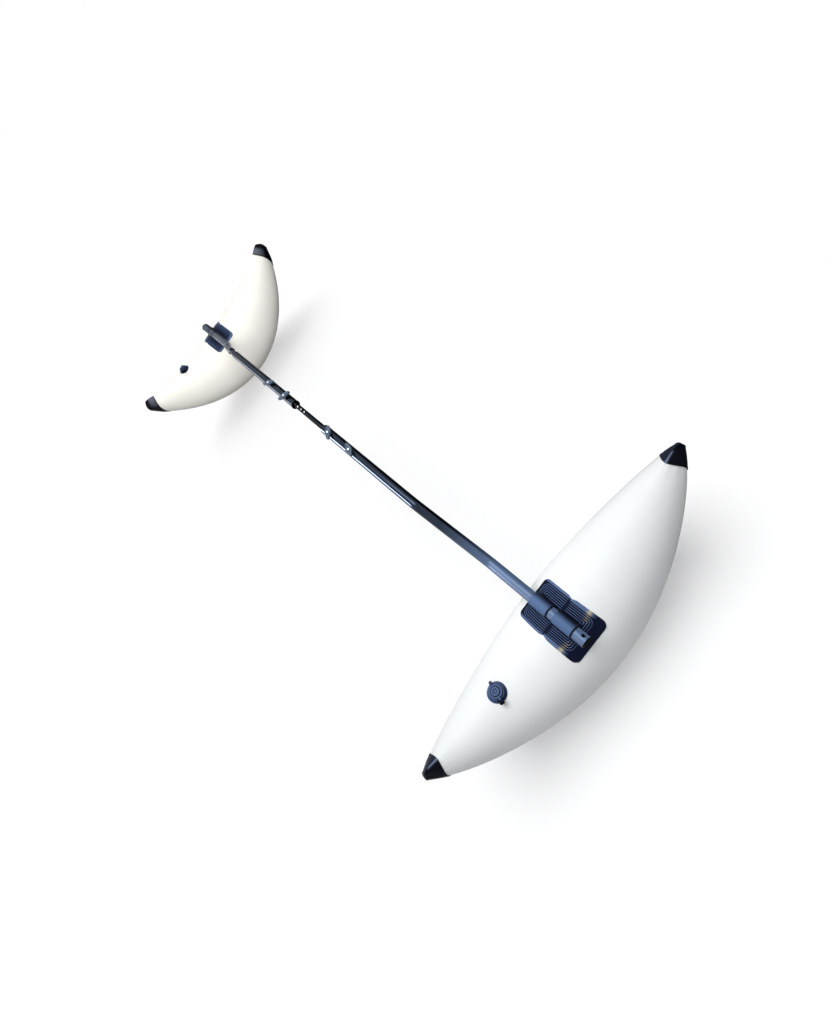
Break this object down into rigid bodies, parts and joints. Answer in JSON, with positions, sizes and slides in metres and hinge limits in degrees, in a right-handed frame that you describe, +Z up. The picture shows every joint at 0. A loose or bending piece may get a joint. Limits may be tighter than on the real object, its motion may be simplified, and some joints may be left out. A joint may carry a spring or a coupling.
{
  "type": "kayak outrigger",
  "caption": "Kayak outrigger with inflated banana-shaped floats, ribbed sleeve mounts and valves, on a cranked telescopic pole with wing-knob clamps.",
  "frame": {"origin": "middle of the outrigger at the level that the floats' bellies rest on", "axes": "+X along the pole towards the near float, +Y along the floats, +Z up"},
  "size_m": [2.556, 1.0408, 0.4496],
  "materials": {
    "anodised_tube": "dark anodised",
    "dark_rod": "black anodised",
    "stainless": "polished",
    "knob_plastic": "satin",
    "black_plastic": "moulded",
    "white_pvc": "welded PVC",
    "black_pvc": "welded PVC",
    "navy_rubber": "moulded, ribbed",
    "black_rubber": "soft",
    "valve_plastic": "moulded"
  },
  "bodies": {
    "near_pole": {"near_arm": "anodised_tube", "near_end_plug": "black_plastic", "near_mouth_bush": "black_plastic", "near_inner_insert": "stainless", "near_outer_insert": "stainless", "centre_rod": "dark_rod", "rod_core": "stainless", "near_rod_guide": "black_plastic", "far_rod_guide": "black_plastic"},
    "far_pole": {"far_arm": "anodised_tube", "far_end_plug": "black_plastic", "far_mouth_bush": "black_plastic", "far_inner_insert": "stainless", "far_outer_insert": "stainless"},
    "near_inner_clamp": {"near_inner_knob": "knob_plastic", "near_inner_stud": "stainless"},
    "near_outer_clamp": {"near_outer_knob": "knob_plastic", "near_outer_stud": "stainless"},
    "near_grips": {"near_ring_outer": "black_rubber", "near_ring_inner": "black_rubber"},
    "near_float_body": {"near_float": "white_pvc", "near_cap_front": "black_pvc", "near_cap_back": "black_pvc", "near_mount_outer": "navy_rubber", "near_mount_inner": "navy_rubber", "near_valve_base": "valve_plastic"},
    "near_valve": {"near_valve_body": "valve_plastic", "near_valve_flap": "black_rubber"},
    "near_valve_lid": {"near_valve_cap": "valve_plastic"},
    "far_inner_clamp": {"far_inner_knob": "knob_plastic", "far_inner_stud": "stainless"},
    "far_outer_clamp": {"far_outer_knob": "knob_plastic", "far_outer_stud": "stainless"},
    "far_grips": {"far_ring_outer": "black_rubber", "far_ring_inner": "black_rubber"},
    "far_float_body": {"far_float": "white_pvc", "far_cap_front": "black_pvc", "far_cap_back": "black_pvc", "far_mount_outer": "navy_rubber", "far_mount_inner": "navy_rubber", "far_valve_base": "valve_plastic"},
    "far_valve": {"far_valve_body": "valve_plastic", "far_valve_flap": "black_rubber"},
    "far_valve_lid": {"far_valve_cap": "valve_plastic"}
  },
  "joints": [
    {"name": "pole_telescope", "type": "slide", "parent": "near_pole", "child": "far_pole", "axis": [-1, 0, 0], "range_m": [-0.12, 0.15]},
    {"name": "near_inner_clamp_turn", "type": "hinge", "parent": "near_pole", "child": "near_inner_clamp", "pos_m": [0.199, 0, 0.4215], "axis": [0, 0, 1], "continuous": true},
    {"name": "near_outer_clamp_turn", "type": "hinge", "parent": "near_pole", "child": "near_outer_clamp", "pos_m": [0.329, 0, 0.4215], "axis": [0, 0, 1], "continuous": true},
    {"name": "near_float_slide", "type": "slide", "parent": "near_pole", "child": "near_grips", "axis": [1, 0, 0], "range_m": [-0.08, 0]},
    {"name": "near_float_pitch", "type": "hinge", "parent": "near_grips", "child": "near_float_body", "pos_m": [1.129, 0, 0.3215], "axis": [1, 0, 0], "range_deg": [-35, 35]},
    {"name": "near_valve_unscrew", "type": "hinge", "parent": "near_float_body", "child": "near_valve", "pos_m": [1.129, -0.2397, 0.31677], "axis": [0, 0.1728, 0.985], "continuous": true},
    {"name": "near_valve_lid_flip", "type": "hinge", "parent": "near_valve", "child": "near_valve_lid", "pos_m": [1.15811, -0.24463, 0.33063], "axis": [0.2419, 0.9557, -0.1677], "range_deg": [0, 165]},
    {"name": "far_inner_clamp_turn", "type": "hinge", "parent": "far_pole", "child": "far_inner_clamp", "pos_m": [-0.121, 0, 0.4215], "axis": [0, 0, 1], "continuous": true},
    {"name": "far_outer_clamp_turn", "type": "hinge", "parent": "far_pole", "child": "far_outer_clamp", "pos_m": [-0.251, 0, 0.4215], "axis": [0, 0, 1], "continuous": true},
    {"name": "far_float_slide", "type": "slide", "parent": "far_pole", "child": "far_grips", "axis": [-1, 0, 0], "range_m": [-0.08, 0]},
    {"name": "far_float_pitch", "type": "hinge", "parent": "far_grips", "child": "far_float_body", "pos_m": [-1.129, 0, 0.3215], "axis": [1, 0, 0], "range_deg": [-35, 35]},
    {"name": "far_valve_unscrew", "type": "hinge", "parent": "far_float_body", "child": "far_valve", "pos_m": [-1.129, -0.2397, 0.31677], "axis": [0, 0.1728, 0.985], "continuous": true},
    {"name": "far_valve_lid_flip", "type": "hinge", "parent": "far_valve", "child": "far_valve_lid", "pos_m": [-1.09989, -0.24463, 0.33063], "axis": [0.2419, 0.9557, -0.1677], "range_deg": [0, 165]}
  ]
}
